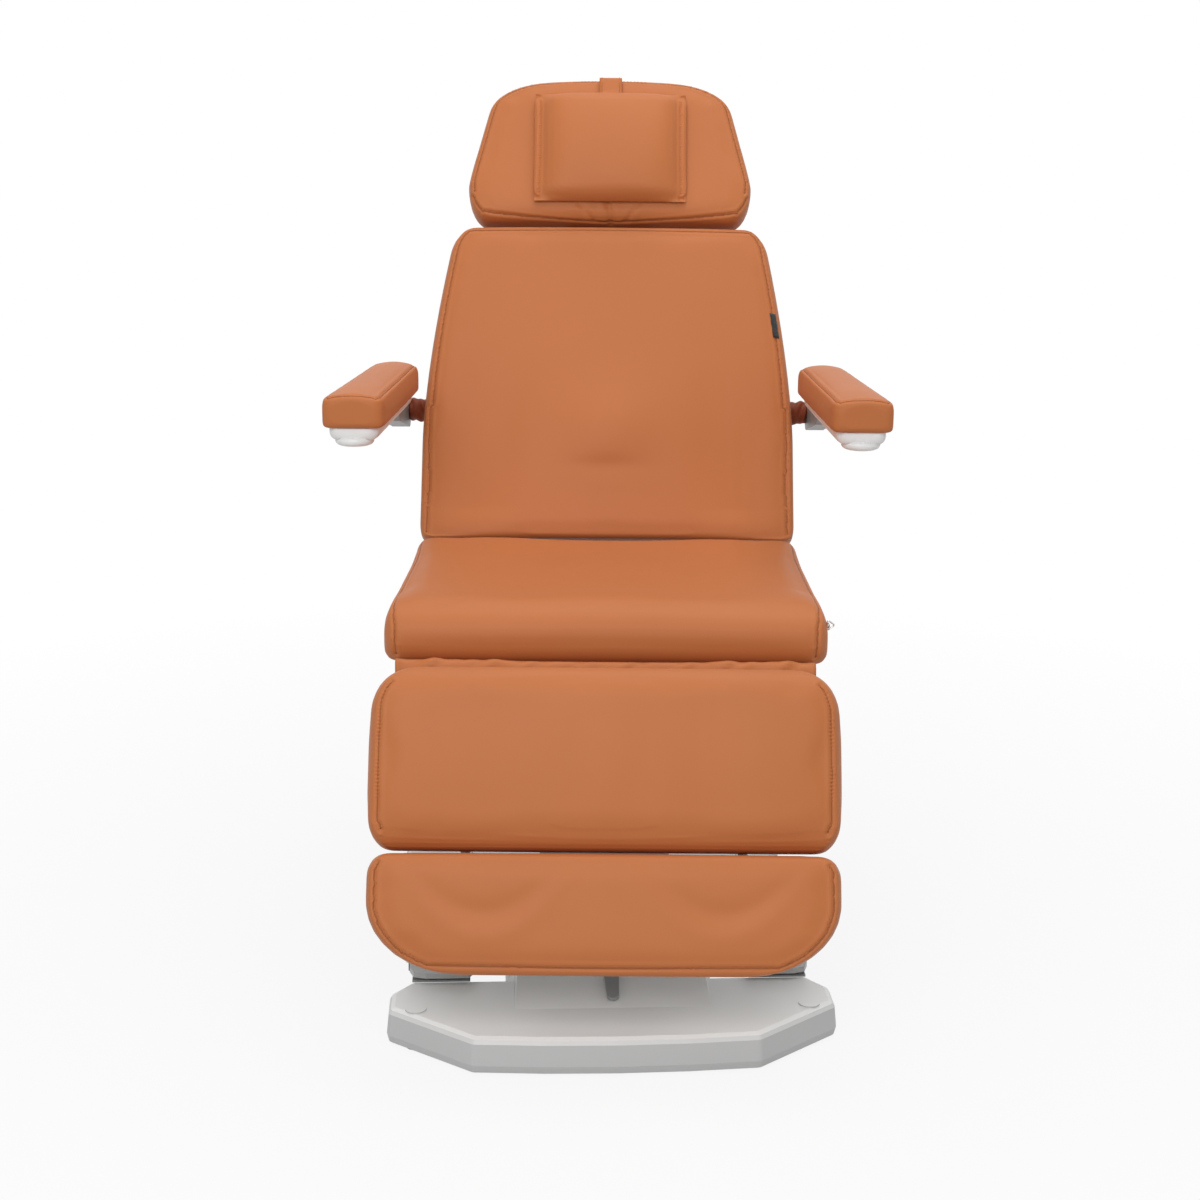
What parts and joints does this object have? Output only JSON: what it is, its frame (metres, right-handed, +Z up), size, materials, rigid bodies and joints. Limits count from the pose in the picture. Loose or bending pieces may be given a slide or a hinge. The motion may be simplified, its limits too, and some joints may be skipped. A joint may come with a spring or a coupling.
{
  "type": "procedure chair",
  "caption": "Powered procedure chair: padded seat, reclining back with headrest and pillow, raising leg rest with foot pad, flip-up armrests, lifting swivel column on a low wide base.",
  "frame": {"origin": "on the floor, under the middle of the chair's box at rest", "axes": "X is the chair's width and +X its left-hand side when seated reversed, that is the right in the front view; the chair faces -Y; Z is up"},
  "size_m": [0.84, 1.1914, 1.3259],
  "materials": {
    "upholstery": "terracotta artificial leather, soft sheen",
    "sleeve_cloth": "dark terracotta artificial leather",
    "white_plastic": "satin white moulded plastic",
    "grey_plastic": "fine-textured grey plastic",
    "frame_steel": "grey powder coat",
    "bright_steel": "ground steel",
    "column_grey": "natural anodised",
    "black_plastic": "matt black",
    "plywood": "sealed birch plywood"
  },
  "bodies": {
    "base": {"base_frame": "frame_steel", "base_cover": "white_plastic", "hump_cover": "white_plastic", "foot_caps": "white_plastic", "levelling_feet": "black_plastic", "swivel_ring": "frame_steel", "pedal_brackets": "grey_plastic", "control_pins": "bright_steel", "power_inlet": "black_plastic"},
    "pedal_left": {"left_pedal": "grey_plastic"},
    "pedal_right": {"right_pedal": "grey_plastic"},
    "lever": {"lock_lever": "grey_plastic"},
    "turntable": {"swivel_plate": "frame_steel", "outer_column": "frame_steel", "lift_motor": "black_plastic", "lift_screw": "bright_steel", "control_box": "black_plastic"},
    "middle_stage": {"middle_column": "column_grey", "stage_screw": "bright_steel"},
    "seat": {"inner_column": "column_grey", "seat_frame": "frame_steel", "seat_board": "plywood", "seat_cushion": "upholstery", "knee_flap": "upholstery", "d_ring": "bright_steel", "back_motor": "black_plastic", "leg_motor": "black_plastic", "motor_pins": "bright_steel", "back_hinge_shaft": "bright_steel", "leg_hinge_shaft": "bright_steel"},
    "back_rod": {"back_ram": "bright_steel"},
    "leg_rod": {"leg_ram": "bright_steel"},
    "back": {"back_frame": "frame_steel", "back_board": "plywood", "back_shell": "white_plastic", "back_cushion": "upholstery", "side_tab": "black_plastic", "arm_rod": "bright_steel", "rod_sleeves": "sleeve_cloth", "head_hinge_pin": "bright_steel"},
    "head": {"head_frame": "frame_steel", "head_board": "plywood", "head_cushion": "upholstery", "head_pillow": "upholstery", "pillow_strap": "upholstery"},
    "leg": {"leg_frame": "frame_steel", "calf_board": "plywood", "calf_cushion": "upholstery"},
    "foot": {"foot_frame": "bright_steel", "foot_board": "plywood", "foot_cushion": "upholstery"},
    "arm_left": {"left_arm_block": "grey_plastic", "left_arm_tray": "white_plastic", "left_arm_pad": "upholstery"},
    "arm_right": {"right_arm_block": "grey_plastic", "right_arm_tray": "white_plastic", "right_arm_pad": "upholstery"}
  },
  "joints": [
    {"name": "swivel", "type": "hinge", "parent": "base", "child": "turntable", "pos_m": [0, -0.17058, 0.104], "axis": [0, 0, 1], "range_deg": [-115, 125]},
    {"name": "seat_lift", "type": "slide", "parent": "turntable", "child": "seat", "axis": [0, 0, 1], "range_m": [0, 0.24]},
    {"name": "stage_lift", "type": "slide", "parent": "turntable", "child": "middle_stage", "axis": [0, 0, 1], "range_m": [0, 0.12]},
    {"name": "back_recline", "type": "hinge", "parent": "seat", "child": "back", "pos_m": [0, 0.20542, 0.545], "axis": [-1, 0, 0], "range_deg": [0, 65]},
    {"name": "back_ram_slide", "type": "slide", "parent": "seat", "child": "back_rod", "axis": [0, -1, 0], "range_m": [0, 0.1237]},
    {"name": "leg_raise", "type": "hinge", "parent": "seat", "child": "leg", "pos_m": [0, -0.33758, 0.464], "axis": [-1, 0, 0], "range_deg": [0, 65]},
    {"name": "leg_ram_slide", "type": "slide", "parent": "seat", "child": "leg_rod", "axis": [0, -1, 0], "range_m": [0, 0.0968]},
    {"name": "head_tilt", "type": "hinge", "parent": "back", "child": "head", "pos_m": [0, 0.49663, 1.05357], "axis": [-1, 0, 0], "range_deg": [-6, 30]},
    {"name": "foot_extend", "type": "slide", "parent": "leg", "child": "foot", "axis": [0, -0.4067, -0.9135], "range_m": [0, 0.07]},
    {"name": "left_arm_swing", "type": "hinge", "parent": "back", "child": "arm_left", "pos_m": [-0.354, 0.3872, 0.7692], "axis": [-1, 0, 0], "range_deg": [-60, 90]},
    {"name": "right_arm_swing", "type": "hinge", "parent": "back", "child": "arm_right", "pos_m": [0.354, 0.3872, 0.7692], "axis": [-1, 0, 0], "range_deg": [-60, 90]},
    {"name": "left_pedal_press", "type": "hinge", "parent": "base", "child": "pedal_left", "pos_m": [-0.23486, -0.31392, 0.068], "axis": [0.9984, 0.0558, 0], "range_deg": [0, 4], "stiffness_Nm_per_rad": 1, "springref_deg": -5.73},
    {"name": "right_pedal_press", "type": "hinge", "parent": "base", "child": "pedal_right", "pos_m": [0.24938, -0.28684, 0.068], "axis": [0.9984, 0.0558, 0], "range_deg": [0, 4], "stiffness_Nm_per_rad": 1, "springref_deg": -5.73},
    {"name": "lock_lever_turn", "type": "hinge", "parent": "base", "child": "lever", "pos_m": [0.00921, -0.33533, 0.08784], "axis": [0.0162, -0.2905, 0.9568], "range_deg": [-20, 20]}
  ],
  "couplings": [
    {"joint": "stage_lift", "follows": "seat_lift", "ratio": 0.5},
    {"joint": "back_ram_slide", "follows": "back_recline", "m_per_rad": 0.10893},
    {"joint": "leg_ram_slide", "follows": "leg_raise", "m_per_rad": 0.085251}
  ]
}
